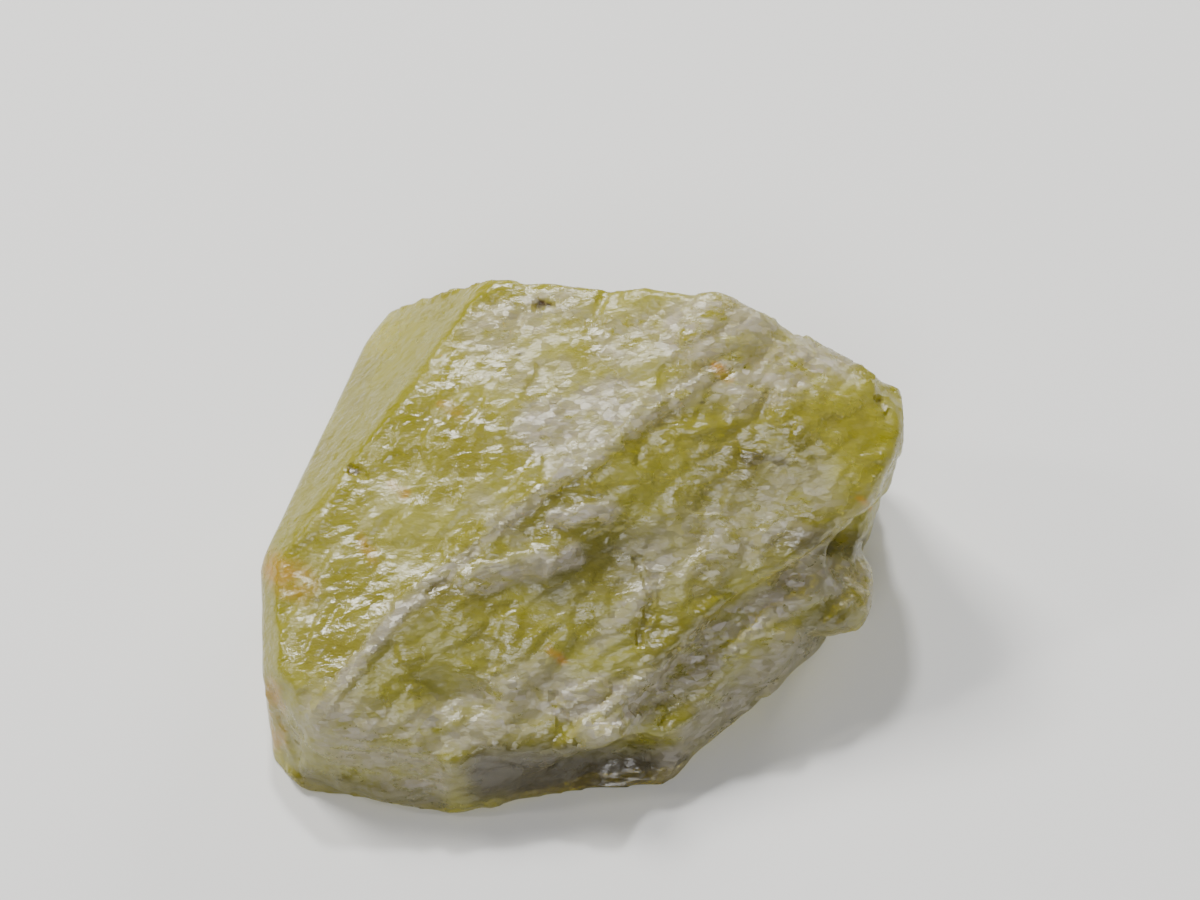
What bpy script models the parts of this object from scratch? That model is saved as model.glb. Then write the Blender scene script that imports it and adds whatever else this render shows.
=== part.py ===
"""A raw rhodizite crystal: one broken, pale yellow-green crystal with a few smooth growth faces left.

It lies on a flat break. X is its length, Z is up, and the origin is under the middle of the crystal.
"""

import math

import bmesh
import bpy
from mathutils import Matrix, Vector

NAME = "rhodizite_crystal"
MM = 0.001

# The rough block, before any face is cut, is a cube round the heart of the crystal.
BLOCK = 24.0
HEART = Vector((0.0, 0.0, 3.4))

# Each face of the crystal: the way it faces, in degrees counterclockwise from +X, its slope from level in
# degrees, its distance from the heart in mm, and how rough it is, from 0 for growth to 1 for a break.
FACES = {
    "upper": (233, 24, 2.35, 0.55),
    "front": (278, 41, 1.7, 0.6),
    "front left": (262, 58, 3.55, 0.9),
    "left": (166, 44, 4.85, 0.12),
    "left wall": (160, 80, 6.5, 0.12),
    "left end": (194, 62, 6.1, 0.25),
    "left foot": (184, 90, 7.1, 0.25),
    "corner": (222, 80, 6.6, 0.5),
    "wall 1": (259, 86, 4.85, 1.0),
    "wall 2": (279, 87, 3.95, 1.0),
    "wall 3": (306, 82, 3.75, 1.0),
    "right": (325, 30, 4.25, 0.6),
    "right brow": (30, 42, 6.6, 0.8),
    "right end": (358, 95, 6.75, 0.4),
    "right nose": (334, 97, 5.25, 0.8),
    "right undercut": (318, 112, 4.9, 1.0),
    "back left": (138, 86, 7.3, 0.15),
    "back": (80, 78, 5.2, 0.12),
    "back right": (66, 76, 6.1, 0.3),
    "base": (0, 180, 3.4, 0.0),
}

# Shells of rock that broke away, as ellipsoids: the middle of the scar and the way it opens (facing and
# slope), the ellipsoid's half sizes along, across and into the scar, its depth, and its turn in degrees.
SCARS = {
    "bright_ledge": ((2.6, -2.5, 3.0), (290, 50), (3.1, 0.85, 1.2), 0.55, 33),
    "under_ledge": ((0.9, -4.1, 1.2), (278, 84), (1.9, 1.1, 1.3), 0.75, 0),
    "right_notch": ((6.3, 0.1, 4.0), (320, 70), (1.3, 0.55, 1.6), 1.15, 20),
    "right_groove": ((4.9, -0.8, 4.1), (300, 60), (2.2, 0.5, 1.1), 0.5, 20),
    "clear_hollow": ((0.6, -0.9, 4.8), (278, 41), (2.3, 1.4, 1.6), 0.28, 22),
    "front_chip": ((-2.6, -3.3, 3.1), (268, 50), (1.5, 0.8, 1.1), 0.3, -12),
    "top_scoop": ((3.9, 2.4, 7.3), (310, 32), (1.3, 0.7, 1.0), 0.25, 35),
    "crest_chip": ((3.6, 4.3, 7.7), (60, 50), (0.9, 0.6, 0.8), 0.3, 0),
    "back_scar": ((2.4, 5.0, 3.6), (76, 80), (2.2, 1.5, 1.6), 0.35, 15),
    "back_low_scar": ((-3.2, 5.6, 1.6), (112, 84), (1.8, 0.9, 1.2), 0.4, -10),
}

# What stands proud of the faces, with the same values: its depth is how far it stands out.
LUMPS = {
    "right_lobe": ((6.0, -0.5, 2.6), (335, 85), (1.2, 0.7, 1.1), 0.5, 0),
    "ledge_lip": ((1.1, -3.7, 2.5), (280, 60), (1.8, 0.45, 0.8), 0.3, 6),
    "long_plate": ((-1.3, -1.1, 4.85), (278, 41), (1.1, 0.45, 0.5), 0.14, 14),
    "short_plate": ((0.0, -0.2, 5.45), (278, 41), (0.8, 0.3, 0.5), 0.12, 8),
    "wall_rib": ((4.3, -2.1, 2.3), (306, 88), (1.1, 0.6, 0.9), 0.25, 40),
    "foot_lump": ((-4.6, -4.3, 0.8), (256, 88), (1.6, 0.6, 0.8), 0.25, 0),
}

# The breaks are finished in voxels of this size, then roughened in three scales.
VOXEL = 0.12
SWELL, SWELL_SIZE = 0.5, 2.6
STEPS, STEP_SIZE = 0.34, 1.5
GRAIN, GRAIN_SIZE = 0.26, 0.55
# The steps run with the long ridge, and are this much longer than they are wide.
RIDGE_TURN = 38
STEP_STRETCH = 2.4

# The underside is cut level this high. The surface is then thinned to this many triangles.
BASE_CUT = 0.15
TRIANGLES = 8800

COLOR = (0.60, 0.58, 0.20, 1.0)
ROUGHNESS = 0.32


def clear_scene():
    for obj in list(bpy.data.objects):
        bpy.data.objects.remove(obj, do_unlink=True)


def collection(name):
    made = bpy.data.collections.new(name)
    bpy.context.scene.collection.children.link(made)
    return made


def direction(facing, slope):
    """The unit vector that leans from straight up by slope, towards facing."""
    facing, slope = math.radians(facing), math.radians(slope)
    level = math.sin(slope)
    return Vector((math.cos(facing) * level, math.sin(facing) * level, math.cos(slope)))


def crystal_material():
    material = bpy.data.materials.new("pale yellow-green crystal")
    material.use_nodes = True
    surface = material.node_tree.nodes["Principled BSDF"]
    surface.inputs["Base Color"].default_value = COLOR
    surface.inputs["Roughness"].default_value = ROUGHNESS
    surface.inputs["Transmission Weight"].default_value = 0.3
    surface.inputs["IOR"].default_value = 1.69
    material.diffuse_color = COLOR
    return material


def cut_block(parts):
    """The crystal's plain form: the block cut by each of its faces."""
    shape = bmesh.new()
    bmesh.ops.create_cube(shape, size=BLOCK * MM, matrix=Matrix.Translation(HEART * MM))
    planes = [(HEART + direction(facing, slope) * reach, direction(facing, slope))
              for facing, slope, reach, rough in FACES.values()]
    for point, outward in planes:
        everything = shape.verts[:] + shape.edges[:] + shape.faces[:]
        cut = bmesh.ops.bisect_plane(
            shape, geom=everything, plane_co=point * MM, plane_no=outward, clear_outer=True)
        rim = [item for item in cut["geom_cut"] if isinstance(item, bmesh.types.BMEdge)]
        bmesh.ops.edgeloop_fill(shape, edges=rim)
    bmesh.ops.recalc_face_normals(shape, faces=shape.faces)
    mesh = bpy.data.meshes.new(NAME)
    shape.to_mesh(mesh)
    shape.free()
    crystal = bpy.data.objects.new(NAME, mesh)
    parts.objects.link(crystal)
    return crystal


def ellipsoid(name, values, sign, helpers):
    """An ellipsoid that reaches depth below the surface where sign is 1, or above it where sign is -1."""
    place, (facing, slope), half_sizes, depth, turn = values
    outward = direction(facing, slope)
    shape = bmesh.new()
    bmesh.ops.create_uvsphere(shape, u_segments=40, v_segments=24, radius=MM)
    mesh = bpy.data.meshes.new(name)
    shape.to_mesh(mesh)
    shape.free()
    made = bpy.data.objects.new(name, mesh)
    helpers.objects.link(made)
    along = Vector((0.0, 0.0, 1.0)).cross(outward).normalized()
    across = outward.cross(along)
    axes = Matrix((along, across, outward)).transposed().to_4x4()
    middle = Vector(place) + outward * (half_sizes[2] - depth) * sign
    made.matrix_world = (
        Matrix.Translation(middle * MM) @ axes
        @ Matrix.Rotation(math.radians(turn), 4, "Z") @ Matrix.Diagonal((*half_sizes, 1.0)))
    made.display_type = "WIRE"
    made.hide_render = True
    return made


def carve(crystal, helpers):
    """Adds the lumps and takes out the scars, as Boolean modifiers."""
    for operation, sign, forms in (("UNION", -1, LUMPS), ("DIFFERENCE", 1, SCARS)):
        for name, values in forms.items():
            boolean = crystal.modifiers.new(name, "BOOLEAN")
            boolean.operation = operation
            boolean.object = ellipsoid(name, values, sign, helpers)


def baked(crystal):
    """Replaces the object's mesh by what its modifiers make of it."""
    graph = bpy.context.evaluated_depsgraph_get()
    mesh = bpy.data.meshes.new_from_object(crystal.evaluated_get(graph))
    crystal.modifiers.clear()
    crystal.data = mesh


def voxelise(crystal):
    remesh = crystal.modifiers.new("even surface", "REMESH")
    remesh.mode = "VOXEL"
    remesh.voxel_size = VOXEL * MM
    smooth = crystal.modifiers.new("soften", "SMOOTH")
    smooth.factor = 0.5
    smooth.iterations = 2


def mark_breaks(crystal):
    """A vertex group that holds how rough the crystal's face is at each point."""
    group = crystal.vertex_groups.new(name="breaks")
    planes = [(direction(facing, slope), reach, rough) for facing, slope, reach, rough in FACES.values()]
    for vertex in crystal.data.vertices:
        place = vertex.co / MM - HEART
        heights = [(outward.dot(place) - reach, rough) for outward, reach, rough in planes]
        nearest = max(heights)[0]
        shares = [(math.exp(6.0 * (height - nearest)), rough) for height, rough in heights]
        total = sum(share for share, rough in shares)
        weight = sum(share * rough for share, rough in shares) / total
        group.add([vertex.index], weight, "REPLACE")


def guide(name, turn, stretch, helpers):
    """An empty that turns a texture to the ridge and draws it out along it."""
    empty = bpy.data.objects.new(name, None)
    empty.rotation_euler = (0.0, 0.0, math.radians(turn))
    empty.scale = (stretch, 1.0, 1.0)
    helpers.objects.link(empty)
    return empty


def roughen(crystal, name, kind, size, strength, helpers, stretch):
    texture = bpy.data.textures.new(name, kind)
    texture.noise_scale = size * MM
    if kind == "VORONOI":
        texture.distance_metric = "DISTANCE"
        texture.color_mode = "POSITION"
    else:
        texture.noise_depth = 2
    displace = crystal.modifiers.new(name, "DISPLACE")
    displace.texture = texture
    displace.texture_coords = "OBJECT"
    displace.texture_coords_object = guide(name + " guide", RIDGE_TURN, stretch, helpers)
    displace.vertex_group = "breaks"
    displace.strength = strength * MM
    displace.mid_level = 0.5


def keep_largest(crystal):
    """Drops the crumbs that roughening has cut loose."""
    shape = bmesh.new()
    shape.from_mesh(crystal.data)
    pieces = []
    unseen = set(shape.verts)
    while unseen:
        piece = {unseen.pop()}
        reached = list(piece)
        while reached:
            vertex = reached.pop()
            near = {edge.other_vert(vertex) for edge in vertex.link_edges} & unseen
            unseen -= near
            piece |= near
            reached.extend(near)
        pieces.append(piece)
    largest = max(pieces, key=len)
    crumbs = [vertex for vertex in shape.verts if vertex not in largest]
    bmesh.ops.delete(shape, geom=crumbs, context="VERTS")
    shape.to_mesh(crystal.data)
    shape.free()


def thin(crystal):
    triangulated = sum(len(polygon.vertices) - 2 for polygon in crystal.data.polygons)
    decimate = crystal.modifiers.new("thin out", "DECIMATE")
    decimate.ratio = TRIANGLES / triangulated


def cut_base(crystal):
    """Cuts the underside level, and puts the origin under the middle of the crystal."""
    shape = bmesh.new()
    shape.from_mesh(crystal.data)
    cut = bmesh.ops.bisect_plane(
        shape, geom=shape.verts[:] + shape.edges[:] + shape.faces[:],
        plane_co=(0.0, 0.0, BASE_CUT * MM), plane_no=(0.0, 0.0, -1.0), clear_outer=True)
    rim = [item for item in cut["geom_cut"] if isinstance(item, bmesh.types.BMEdge)]
    bmesh.ops.edgeloop_fill(shape, edges=rim)
    bmesh.ops.dissolve_degenerate(shape, dist=0.002 * MM, edges=shape.edges)
    lows = [min(vertex.co[axis] for vertex in shape.verts) for axis in range(3)]
    highs = [max(vertex.co[axis] for vertex in shape.verts) for axis in range(3)]
    move = Vector((-(lows[0] + highs[0]) / 2, -(lows[1] + highs[1]) / 2, -lows[2]))
    bmesh.ops.translate(shape, verts=shape.verts, vec=move)
    bmesh.ops.recalc_face_normals(shape, faces=shape.faces)
    bmesh.ops.triangulate(shape, faces=shape.faces)
    shape.to_mesh(crystal.data)
    shape.free()
    print(f"moved by {move.x / MM:.2f}, {move.y / MM:.2f}, {move.z / MM:.2f} mm")


def main():
    clear_scene()
    parts = collection(NAME)
    helpers = collection("cutters and guides")
    crystal = cut_block(parts)
    carve(crystal, helpers)
    voxelise(crystal)
    baked(crystal)
    mark_breaks(crystal)
    roughen(crystal, "swell", "CLOUDS", SWELL_SIZE, SWELL, helpers, 1.0)
    roughen(crystal, "steps", "VORONOI", STEP_SIZE, STEPS, helpers, STEP_STRETCH)
    roughen(crystal, "grain", "CLOUDS", GRAIN_SIZE, GRAIN, helpers, STEP_STRETCH)
    voxelise(crystal)
    baked(crystal)
    keep_largest(crystal)
    thin(crystal)
    baked(crystal)
    cut_base(crystal)
    crystal.data.materials.clear()
    crystal.data.materials.append(crystal_material())


main()
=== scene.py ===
import math

import bpy
import numpy as np
from mathutils import Matrix, Vector


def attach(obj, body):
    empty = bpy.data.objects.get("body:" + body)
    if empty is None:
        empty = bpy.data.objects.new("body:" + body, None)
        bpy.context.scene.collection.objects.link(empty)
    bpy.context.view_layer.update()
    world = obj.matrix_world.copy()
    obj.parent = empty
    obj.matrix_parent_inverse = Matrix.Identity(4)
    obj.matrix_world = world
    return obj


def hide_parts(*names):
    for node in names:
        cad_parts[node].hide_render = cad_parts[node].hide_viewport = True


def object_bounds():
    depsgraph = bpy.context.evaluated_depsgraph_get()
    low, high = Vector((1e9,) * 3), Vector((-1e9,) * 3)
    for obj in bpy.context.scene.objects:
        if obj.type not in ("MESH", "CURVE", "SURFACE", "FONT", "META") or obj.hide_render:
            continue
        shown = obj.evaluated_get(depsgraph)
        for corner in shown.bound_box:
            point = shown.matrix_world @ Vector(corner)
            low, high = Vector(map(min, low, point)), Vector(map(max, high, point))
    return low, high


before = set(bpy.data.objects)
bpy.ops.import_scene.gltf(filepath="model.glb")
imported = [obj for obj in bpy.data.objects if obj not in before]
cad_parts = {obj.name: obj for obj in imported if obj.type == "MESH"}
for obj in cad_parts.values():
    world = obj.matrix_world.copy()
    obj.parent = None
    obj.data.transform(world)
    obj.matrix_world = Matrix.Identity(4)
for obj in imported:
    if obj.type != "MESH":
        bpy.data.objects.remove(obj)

MM = 0.001
scene = bpy.context.scene
cad_low, cad_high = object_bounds()
bpy.ops.object.select_all(action="DESELECT")


# The camera.
# It stands a hand's width from the crystal and looks down on its front, as in the photograph.
# Places on the photograph are pixels of its 1200 by 900 frame.
FRAME_WIDTH, FRAME_HEIGHT = 1200, 900
PIXELS_PER_MM = 45.5
CAMERA_ELEVATION = math.radians(55)
CAMERA_DISTANCE = 80.0
SENSOR = 36.0
PIVOT = Vector((0.05, -1.04, 3.65))
PIVOT_PIXEL = (581, 549)

right = Vector((1, 0, 0))
upward = Vector((0, math.sin(CAMERA_ELEVATION), math.cos(CAMERA_ELEVATION)))
forward = Vector((0, math.cos(CAMERA_ELEVATION), -math.sin(CAMERA_ELEVATION)))
target = (
    PIVOT
    + right * (FRAME_WIDTH / 2 - PIVOT_PIXEL[0]) / PIXELS_PER_MM
    + upward * (PIVOT_PIXEL[1] - FRAME_HEIGHT / 2) / PIXELS_PER_MM
)
eye = target - forward * CAMERA_DISTANCE
bpy.ops.object.camera_add(location=eye * MM)
camera = bpy.context.object
camera.name = "camera"
camera.rotation_euler = forward.to_track_quat("-Z", "Y").to_euler()
camera.data.sensor_width = SENSOR
camera.data.lens = SENSOR * CAMERA_DISTANCE * PIXELS_PER_MM / FRAME_WIDTH
camera.data.clip_start = 1 * MM
camera.data.clip_end = 10.0
scene.camera = camera


def on_photo(places):
    """The pixels of the photograph at which places, in millimetres, are seen."""
    away = places - np.array(eye)
    scale = PIXELS_PER_MM * CAMERA_DISTANCE / (away @ np.array(forward))
    across = FRAME_WIDTH / 2 + away @ np.array(right) * scale
    down = FRAME_HEIGHT / 2 - away @ np.array(upward) * scale
    return np.stack((across, down), axis=1)


# The floor.
# A plain pale matt sheet, far larger than the view, that the crystal lies on.
FLOOR_SIZE = 1.2

bpy.ops.mesh.primitive_plane_add(size=FLOOR_SIZE)
floor = bpy.context.object
floor.name = "floor"
paper = bpy.data.materials.new("pale matt paper")
paper.use_nodes = True
paper_surface = paper.node_tree.nodes["Principled BSDF"]
paper_surface.inputs["Base Color"].default_value = (0.74, 0.74, 0.73, 1)
paper_surface.inputs["Roughness"].default_value = 0.9
floor.data.materials.append(paper)


# The lights.
# A wide soft light on the upper left casts the shadow to the lower right, as in the photograph.
# Small bright panels round the crystal give the glints on its breaks.
world = bpy.data.worlds.new("soft studio")
scene.world = world
world.use_nodes = True
world.node_tree.nodes["Background"].inputs["Color"].default_value = (0.93, 0.95, 1.0, 1)
world.node_tree.nodes["Background"].inputs["Strength"].default_value = 0.22


def panel(name, azimuth, elevation, distance, size, watts, colour):
    """A square light at an angle round the crystal, counterclockwise from +X, turned to its heart."""
    azimuth, elevation = math.radians(azimuth), math.radians(elevation)
    away = Vector((math.cos(azimuth) * math.cos(elevation),
                   math.sin(azimuth) * math.cos(elevation), math.sin(elevation)))
    bpy.ops.object.light_add(type="AREA", location=PIVOT * MM + away * distance)
    light = bpy.context.object
    light.name = name
    light.data.size = size
    light.data.energy = watts
    light.data.color = colour
    light.rotation_euler = (-away).to_track_quat("-Z", "Y").to_euler()


panel("key light", 135, 52, 0.30, 0.09, 0.95, (1.0, 0.98, 0.94))
panel("glint light", 96, 60, 0.28, 0.02, 0.45, (1.0, 1.0, 1.0))
panel("side glint", 182, 38, 0.26, 0.02, 0.12, (1.0, 0.96, 0.90))
panel("back light", 60, 24, 0.30, 0.10, 0.30, (1.0, 0.98, 0.92))
panel("front fill", 262, 46, 0.40, 0.12, 0.55, (0.97, 0.97, 1.0))


# The crystal's body.
# It is one broken crystal: its smooth left side has growth faces, and the rest broke in steps and shells.
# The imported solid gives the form, which is remeshed finely at a thousand times its size, one unit a millimetre.
VOXEL = 0.078
RIDGE_TURN = math.radians(38)

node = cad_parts["rhodizite_crystal"]
crystal = node.copy()
crystal.data = node.data.copy()
crystal.name = "crystal"
crystal.parent = None
for key in list(crystal.keys()):
    del crystal[key]
scene.collection.objects.link(crystal)
crystal.data.materials.clear()
crystal.data.transform(Matrix.Scale(1 / MM, 4))
crystal.select_set(True)
bpy.context.view_layer.objects.active = crystal
bpy.ops.object.mode_set(mode="EDIT")
bpy.ops.mesh.select_all(action="SELECT")
bpy.ops.mesh.remove_doubles(threshold=0.0005)
bpy.ops.mesh.normals_make_consistent(inside=False)
bpy.ops.object.mode_set(mode="OBJECT")
low, high = cad_low / MM, cad_high / MM


def apply(piece, modifier):
    bpy.ops.object.select_all(action="DESELECT")
    piece.select_set(True)
    bpy.context.view_layer.objects.active = piece
    bpy.ops.object.modifier_apply(modifier=modifier.name)


def soften(piece, times):
    soft = piece.modifiers.new("soften", "SMOOTH")
    soft.factor = 0.5
    soft.iterations = times
    apply(piece, soft)


def remesh(piece, voxel, smoothing):
    even = piece.modifiers.new("even", "REMESH")
    even.mode = "VOXEL"
    even.voxel_size = voxel
    apply(piece, even)
    soften(piece, smoothing)


remesh(crystal, VOXEL, 5)


# Where the crystal broke.
# The faces that grew are smooth, and each other face broke across the crystal, so it is stepped and splintered.
# Each growth face has the way it faces, counterclockwise from +X, and its slope from level, in degrees.
GROWTH_FACES = ((166, 44), (160, 80), (194, 66), (184, 90), (138, 86))
BASE_FADE = 0.25


def direction(facing, slope):
    facing, slope = math.radians(facing), math.radians(slope)
    return Vector((math.cos(facing) * math.sin(slope), math.sin(facing) * math.sin(slope), math.cos(slope)))


def smooth_step(low_end, high_end, values):
    share = np.clip((values - low_end) / (high_end - low_end), 0.0, 1.0)
    return share * share * (3 - 2 * share)


def places_and_normals(piece):
    """Every vertex's place and normal, as rows of three numbers."""
    count = len(piece.data.vertices)
    places, normals = np.empty(count * 3), np.empty(count * 3)
    piece.data.vertices.foreach_get("co", places)
    piece.data.vertices.foreach_get("normal", normals)
    return places.reshape(-1, 3), normals.reshape(-1, 3)


def wander(places, size, offset=0.0):
    """A soft uneven value from -1 to 1 at each place, from waves that cross at odd angles."""
    total = np.zeros(len(places))
    for turn, pitch in ((0.3, 1.0), (1.7, 1.37), (2.9, 0.81), (4.4, 1.73), (5.3, 2.3)):
        way = np.array((math.cos(turn), math.sin(turn), math.sin(turn * 2.3)))
        total += np.sin(places @ way * pitch * math.tau / size + turn * 7 + offset)
    return total / 5


places, normals = places_and_normals(crystal)
growth = np.array([direction(*face) for face in GROWTH_FACES])
weights = 1 - 0.94 * smooth_step(0.86, 0.96, (normals @ growth.T).max(axis=1))
weights *= smooth_step(0.02, BASE_FADE, places[:, 2])
breaks = crystal.vertex_groups.new(name="breaks")
for index, weight in enumerate(weights):
    breaks.add([index], weight, "REPLACE")


def roughen(piece, name, kind, size, strength, stretch, group, turn=RIDGE_TURN, tilt=0.0):
    """Moves the surface by a texture that is turned to the long ridge and drawn out along it."""
    texture = bpy.data.textures.new(name, kind)
    texture.noise_scale = size
    if kind == "VORONOI":
        texture.color_mode = "POSITION"
    else:
        texture.noise_depth = 2
    guide = bpy.data.objects.new(name + " guide", None)
    guide.rotation_euler = (tilt, 0, turn)
    guide.scale = (stretch, 1, 1)
    scene.collection.objects.link(guide)
    bpy.context.view_layer.update()
    displace = piece.modifiers.new(name, "DISPLACE")
    displace.texture = texture
    displace.texture_coords = "OBJECT"
    displace.texture_coords_object = guide
    displace.vertex_group = group
    displace.strength = strength
    displace.mid_level = 0.5
    apply(piece, displace)
    bpy.data.objects.remove(guide)


roughen(crystal, "broad steps", "VORONOI", 1.0, 0.20, 2.6, "breaks")
soften(crystal, 3)
roughen(crystal, "splinters", "VORONOI", 0.45, 0.11, 3.0, "breaks", turn=RIDGE_TURN + 0.15, tilt=0.5)
roughen(crystal, "flakes", "VORONOI", 0.2, 0.05, 2.2, "breaks", turn=RIDGE_TURN - 0.1, tilt=0.3)
roughen(crystal, "crumple", "CLOUDS", 0.8, 0.08, 1.6, "breaks")


# The back broke too, in broad uneven shells, and the photograph doesn't show it.
BACK_FACING = (80, 78)
places, normals = places_and_normals(crystal)
back_weights = smooth_step(0.5, 0.9, normals @ np.array(direction(*BACK_FACING)))
back_weights *= smooth_step(0.1, 1.2, places[:, 2]) * (1 - smooth_step(6.6, 7.8, places[:, 2]))
back = crystal.vertex_groups.new(name="back")
for index, weight in enumerate(back_weights):
    back.add([index], weight, "REPLACE")
roughen(crystal, "back shells", "VORONOI", 2.1, 0.6, 1.5, "back", tilt=0.6)
soften(crystal, 2)
roughen(crystal, "back swell", "CLOUDS", 1.8, 0.5, 1.2, "back")


# The marks on its front.
# They are what catches the eye from a step away: the long crest, two thin plates and the bright scooped ledge.
# Each is a few strokes across the photograph, and lifts or sinks what it crosses by its height in millimetres.
CREST = ((318, 712, 400, 612, 9, 1), (400, 612, 470, 540, 9, 1), (470, 540, 560, 478, 8, 1),
         (560, 478, 640, 422, 8, 1), (640, 422, 740, 358, 7, 0.8))
PLATES = ((470, 582, 545, 560, 15, 1), (556, 518, 606, 509, 10, 1), (545, 565, 572, 556, 8, 0.8))
LEDGE_RIBS = ((585, 722, 700, 640, 7, 1), (610, 735, 740, 640, 6, 1), (655, 722, 770, 612, 5, 1),
              (700, 640, 800, 580, 6, 0.8), (566, 700, 600, 690, 10, 1))
CRACKS = ((352, 472, 360, 472, 6, 1), (540, 306, 548, 306, 5, 1), (878, 400, 886, 410, 5, 1),
          (556, 700, 575, 740, 8, 0.7), (640, 640, 652, 600, 5, 0.6), (652, 600, 640, 560, 5, 0.5))
CREST_HEIGHT = 0.06
PLATE_HEIGHT = 0.06
RIB_HEIGHT = 0.07
CRACK_DEPTH = 0.10
RAGGED = 5.0


def strokes_at(places, strokes, hardness):
    """How strongly the strokes cover each place. Each runs from one pixel to another, with a width and a strength."""
    pixels = on_photo(places)
    pixels[:, 0] += RAGGED * wander(places, 0.9)
    pixels[:, 1] += RAGGED * wander(places, 0.7, 2.0)
    strongest = np.zeros(len(places))
    for x0, y0, x1, y1, width, strength in strokes:
        start, along = np.array((x0, y0)), np.array((x1 - x0, y1 - y0))
        share = np.clip((pixels - start) @ along / (along @ along), 0, 1)
        distance = np.linalg.norm(pixels - start - share[:, None] * along, axis=1)
        cover = strength * (1 - smooth_step(width * hardness, width, distance))
        strongest = np.maximum(strongest, cover)
    return strongest


def lift(piece, strokes, height):
    """Moves the vertices under the strokes along their normals, where they face the camera."""
    places, normals = places_and_normals(piece)
    amount = strokes_at(places, strokes, 0.7) * smooth_step(0.0, 0.2, -normals @ np.array(forward))
    amount *= height * (1 + 0.4 * wander(places, 0.5))
    places += normals * amount[:, None]
    piece.data.vertices.foreach_set("co", places.ravel())
    piece.data.update()


lift(crystal, CREST, CREST_HEIGHT)
lift(crystal, PLATES, PLATE_HEIGHT)
lift(crystal, LEDGE_RIBS, RIB_HEIGHT)
lift(crystal, CRACKS, -CRACK_DEPTH)


# The colour of each part of the crystal.
# Thin edges get a painted yellow-green glow, fresh breaks are frosted lilac-white, the bright ledge gets a painted
# sheen, thick parts look olive, the lower walls get painted shade, and amber spots are painted glints.
# Each colour is a few broad strokes across the photograph, kept on the mesh as a mask, with a value for the rest.
# Frost on the breaks, and a painted sheen that whitens the bright ledge at the lower right.
FROST_AND_SHEEN_STROKES = ((490, 330, 560, 310, 40, 0.55), (540, 430, 620, 400, 42, 0.9), (620, 345, 690, 325, 38, 0.6),
         (690, 330, 770, 310, 48, 1.0), (740, 380, 830, 350, 46, 0.95), (560, 470, 700, 380, 22, 0.7),
         (330, 720, 420, 770, 50, 0.75), (420, 740, 540, 690, 48, 0.7), (470, 582, 574, 556, 18, 1.0),
         (556, 518, 608, 510, 16, 1.0), (566, 700, 620, 700, 34, 1.0), (600, 725, 720, 650, 34, 1.0),
         (700, 650, 800, 585, 30, 0.95), (660, 560, 800, 500, 60, 0.5), (800, 570, 870, 590, 34, 0.8),
         (680, 760, 790, 650, 40, 0.6), (480, 500, 520, 540, 18, 0.4), (600, 640, 680, 560, 16, 0.6),
         (318, 712, 400, 612, 13, 0.8), (400, 612, 560, 478, 11, 0.8), (500, 380, 560, 370, 22, 0.4))
# Painted glow: thin edges are given a saturated yellow-green, as if light shone through them.
PAINTED_GLOW_STROKES = ((283, 553, 330, 493, 46, 1.0), (330, 493, 395, 410, 42, 0.9), (395, 410, 450, 340, 40, 0.8),
        (450, 320, 490, 280, 34, 0.9), (490, 280, 720, 290, 20, 1.0), (268, 560, 266, 740, 40, 1.0),
        (280, 760, 420, 815, 26, 0.9), (885, 400, 895, 470, 26, 0.8), (740, 305, 860, 355, 14, 0.7),
        (430, 815, 520, 800, 18, 0.7))
# Olive tone of the thick body, and painted shade that darkens the lower walls as if they were in shadow.
OLIVE_AND_SHADE_STROKES = ((560, 585, 640, 560, 48, 0.45), (720, 470, 800, 460, 46, 0.35), (800, 540, 865, 545, 20, 0.6),
         (380, 640, 440, 590, 24, 0.4), (490, 775, 690, 775, 46, 0.95), (300, 785, 430, 805, 26, 0.6),
         (700, 740, 830, 630, 34, 0.55), (745, 458, 785, 462, 10, 0.8))
# Painted glints: small orange spots of painted light on and inside the crystal.
PAINTED_GLINT_STROKES = ((275, 570, 300, 585, 26, 0.8), (268, 690, 276, 740, 18, 0.7), (392, 486, 404, 492, 8, 1.0),
         (444, 404, 458, 412, 8, 1.0), (716, 364, 728, 380, 8, 1.0), (362, 540, 374, 560, 10, 0.6),
         (552, 650, 562, 660, 8, 0.8), (862, 498, 868, 504, 6, 0.8))
SPECKS = ((352, 472, 358, 472, 5, 1), (541, 306, 547, 306, 4, 1), (879, 400, 885, 410, 4, 1),
          (520, 352, 522, 352, 3, 0.8), (700, 400, 702, 400, 3, 0.8), (318, 600, 320, 600, 3, 0.6))

masks = {"frost": (FROST_AND_SHEEN_STROKES, 0.45), "glow": (PAINTED_GLOW_STROKES, 0.55), "olive": (OLIVE_AND_SHADE_STROKES, 0.2), "amber": (PAINTED_GLINT_STROKES, 0.05),
         "specks": (SPECKS, 0.0)}


def paint(piece, name, strokes, elsewhere):
    """Keeps the strokes as a mask on the mesh. Where the photograph doesn't reach, soft patches stand in."""
    places, normals = places_and_normals(piece)
    seen = smooth_step(0.0, 0.3, -normals @ np.array(forward))
    patches = elsewhere * smooth_step(-0.3, 0.5, wander(places, 5.0, len(name)))
    values = strokes_at(places, strokes, 0.25) * seen + patches * (1 - seen)
    attribute = piece.data.attributes.new(name, "FLOAT", "POINT")
    attribute.data.foreach_set("value", values.astype(np.float32))
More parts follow.
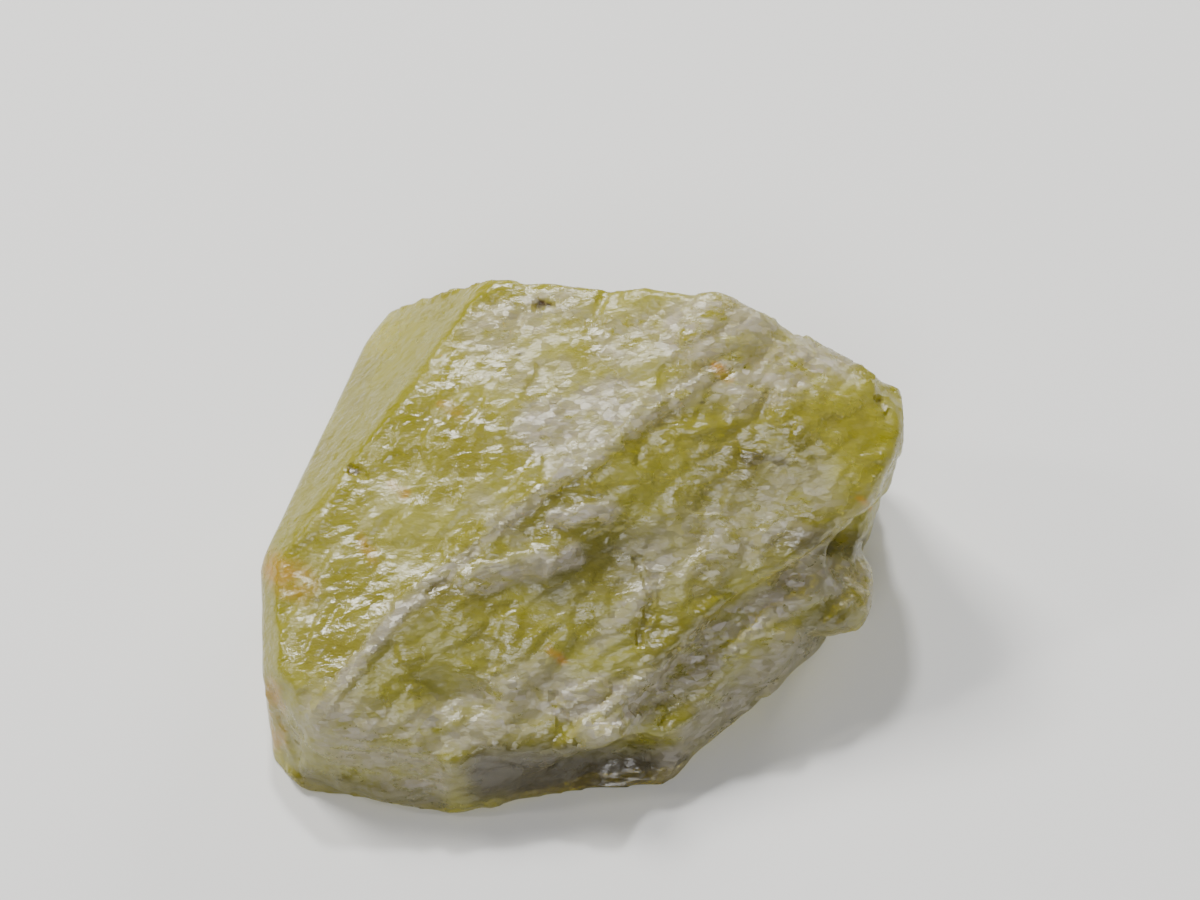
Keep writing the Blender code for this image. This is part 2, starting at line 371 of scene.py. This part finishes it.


# The finish: one clear yellow-green glass-like crystal, clouded by veils and frosted where it broke, with painted
# glow, shade, sheen and glints in its colour.
def crystal_finish():
    material = bpy.data.materials.new("cloudy yellow-green crystal")
    material.use_nodes = True
    nodes, links = material.node_tree.nodes, material.node_tree.links
    surface = nodes["Principled BSDF"]
    surface.inputs["IOR"].default_value = 1.69
    surface.inputs["Transmission Weight"].default_value = 0.6
    surface.inputs["Subsurface Weight"].default_value = 0.3
    surface.inputs["Subsurface Radius"].default_value = (1.0, 0.9, 0.35)
    surface.inputs["Subsurface Scale"].default_value = 2.2 * MM

    def value_node(kind, **settings):
        made = nodes.new(kind)
        for key, value in settings.items():
            setattr(made, key, value)
        return made

    place = nodes.new("ShaderNodeTexCoord")
    scaled = nodes.new("ShaderNodeMapping")
    scaled.inputs["Scale"].default_value = (1 / MM, 1 / MM, 1 / MM)
    links.new(place.outputs["Object"], scaled.inputs["Vector"])
    drawn_out = nodes.new("ShaderNodeMapping")
    drawn_out.inputs["Rotation"].default_value = (0, 0, -RIDGE_TURN)
    drawn_out.inputs["Scale"].default_value = (0.5 / MM, 1 / MM, 1 / MM)
    links.new(place.outputs["Object"], drawn_out.inputs["Vector"])

    def cloud(vector, scale, detail, low_end, high_end):
        texture = value_node("ShaderNodeTexNoise")
        texture.inputs["Scale"].default_value = scale
        texture.inputs["Detail"].default_value = detail
        texture.inputs["Roughness"].default_value = 0.65
        links.new(vector.outputs["Vector"], texture.inputs["Vector"])
        ramp = nodes.new("ShaderNodeMapRange")
        ramp.inputs["From Min"].default_value = low_end
        ramp.inputs["From Max"].default_value = high_end
        links.new(texture.outputs["Fac"], ramp.inputs["Value"])
        return ramp.outputs["Result"]

    def mask(name):
        attribute = value_node("ShaderNodeAttribute", attribute_name=name)
        return attribute.outputs["Fac"]

    def sum_of(operation, first, second):
        maths = value_node("ShaderNodeMath", operation=operation, use_clamp=True)
        for socket, value in zip(maths.inputs, (first, second)):
            if isinstance(value, float):
                socket.default_value = value
            else:
                links.new(value, socket)
        return maths.outputs["Value"]

    def blend(base, colour, amount):
        mix = value_node("ShaderNodeMix", data_type="RGBA")
        links.new(amount, mix.inputs["Factor"])
        if isinstance(base, tuple):
            mix.inputs["A"].default_value = base
        else:
            links.new(base, mix.inputs["A"])
        mix.inputs["B"].default_value = colour
        return mix.outputs["Result"]

    fine = cloud(drawn_out, 1.6, 6, 0.38, 0.66)
    streaks = cloud(drawn_out, 3.6, 5, 0.42, 0.62)
    patches = cloud(scaled, 0.5, 4, 0.35, 0.65)
    flakes = value_node("ShaderNodeTexVoronoi", feature="F1")
    flakes.inputs["Scale"].default_value = 7.0
    links.new(drawn_out.outputs["Vector"], flakes.inputs["Vector"])
    flake_shade = nodes.new("ShaderNodeSeparateColor")
    links.new(flakes.outputs["Color"], flake_shade.inputs["Color"])
    pale_flakes = nodes.new("ShaderNodeMapRange")
    pale_flakes.inputs["From Min"].default_value = 0.55
    pale_flakes.inputs["From Max"].default_value = 1.0
    links.new(flake_shade.outputs["Red"], pale_flakes.inputs["Value"])
    streaked_frost_and_sheen = sum_of("MULTIPLY", sum_of("ADD", mask("frost"), 0.05), sum_of("ADD", streaks, fine))
    flecks = sum_of("MULTIPLY", pale_flakes.outputs["Result"], sum_of("ADD", mask("frost"), 0.15))
    frost = sum_of("ADD", sum_of("MULTIPLY", streaked_frost_and_sheen, 0.75), sum_of("MULTIPLY", flecks, 0.45))
    frost = sum_of("MULTIPLY", frost, sum_of("ADD", mask("fresh"), 0.1))
    veil_and_sheen = sum_of("MULTIPLY", frost, 0.8)
    colour = blend((0.46, 0.41, 0.02, 1), (0.62, 0.58, 0.03, 1), patches)
    # Painted glow on the thin edges.
    colour = blend(colour, (0.50, 0.46, 0.0, 1), mask("glow"))
    # Olive tone, and painted shade on the lower walls.
    colour = blend(colour, (0.10, 0.07, 0.008, 1), mask("olive"))
    # Frost whitening, with a painted sheen on the bright ledge.
    colour = blend(colour, (0.84, 0.75, 0.63, 1), veil_and_sheen)
    # Painted orange glints.
    colour = blend(colour, (0.90, 0.46, 0.0, 1), sum_of("MULTIPLY", mask("amber"), sum_of("ADD", fine, 0.2)))
    colour = blend(colour, (0.10, 0.05, 0.02, 1), mask("specks"))
    links.new(colour, surface.inputs["Base Color"])

    roughness = nodes.new("ShaderNodeMapRange")
    roughness.inputs["To Min"].default_value = 0.10
    roughness.inputs["To Max"].default_value = 0.36
    links.new(sum_of("ADD", frost, patches), roughness.inputs["Value"])
    links.new(roughness.outputs["Result"], surface.inputs["Roughness"])

    # Each tiny flake on a break is a facet with a tilt of its own, which is what makes the frost glitter.
    from_middle = value_node("ShaderNodeVectorMath", operation="SUBTRACT")
    links.new(drawn_out.outputs["Vector"], from_middle.inputs[0])
    links.new(flakes.outputs["Position"], from_middle.inputs[1])
    tilt = value_node("ShaderNodeVectorMath", operation="SUBTRACT")
    tilt.inputs[1].default_value = (0.5, 0.5, 0.5)
    links.new(flakes.outputs["Color"], tilt.inputs[0])
    slope = value_node("ShaderNodeVectorMath", operation="DOT_PRODUCT")
    links.new(from_middle.outputs["Vector"], slope.inputs[0])
    links.new(tilt.outputs["Vector"], slope.inputs[1])
    facets = value_node("ShaderNodeMath", operation="MULTIPLY")
    links.new(slope.outputs["Value"], facets.inputs[0])
    links.new(sum_of("ADD", frost, 0.15), facets.inputs[1])
    grain = value_node("ShaderNodeTexNoise")
    grain.inputs["Scale"].default_value = 5.0
    grain.inputs["Detail"].default_value = 6
    links.new(drawn_out.outputs["Vector"], grain.inputs["Vector"])
    heights = value_node("ShaderNodeMath", operation="MULTIPLY_ADD")
    links.new(grain.outputs["Fac"], heights.inputs[0])
    heights.inputs[1].default_value = 0.06
    links.new(facets.outputs["Value"], heights.inputs[2])
    bump = nodes.new("ShaderNodeBump")
    bump.inputs["Strength"].default_value = 1.0
    bump.inputs["Distance"].default_value = 0.8 * MM
    links.new(heights.outputs["Value"], bump.inputs["Height"])
    links.new(bump.outputs["Normal"], surface.inputs["Normal"])

    depth = nodes.new("ShaderNodeVolumeAbsorption")
    depth.inputs["Color"].default_value = (0.86, 0.84, 0.10, 1)
    depth.inputs["Density"].default_value = 190
    links.new(depth.outputs["Volume"], nodes["Material Output"].inputs["Volume"])
    return material


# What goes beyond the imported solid's box is drawn back to it, and the base is level again.
places, normals = places_and_normals(crystal)
crystal.data.vertices.foreach_set("co", np.clip(places, low, high).ravel())
for name, (strokes, elsewhere) in masks.items():
    paint(crystal, name, strokes, elsewhere)
fresh = crystal.data.attributes.new("fresh", "FLOAT", "POINT")
fresh.data.foreach_set("value", smooth_step(0.2, 0.8, weights).astype(np.float32))
crystal.data.transform(Matrix.Scale(MM, 4))
crystal.data.materials.append(crystal_finish())
bpy.ops.object.select_all(action="DESELECT")
crystal.select_set(True)
bpy.context.view_layer.objects.active = crystal
bpy.ops.object.shade_smooth_by_angle(angle=math.radians(24))
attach(crystal, "root")
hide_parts("rhodizite_crystal")
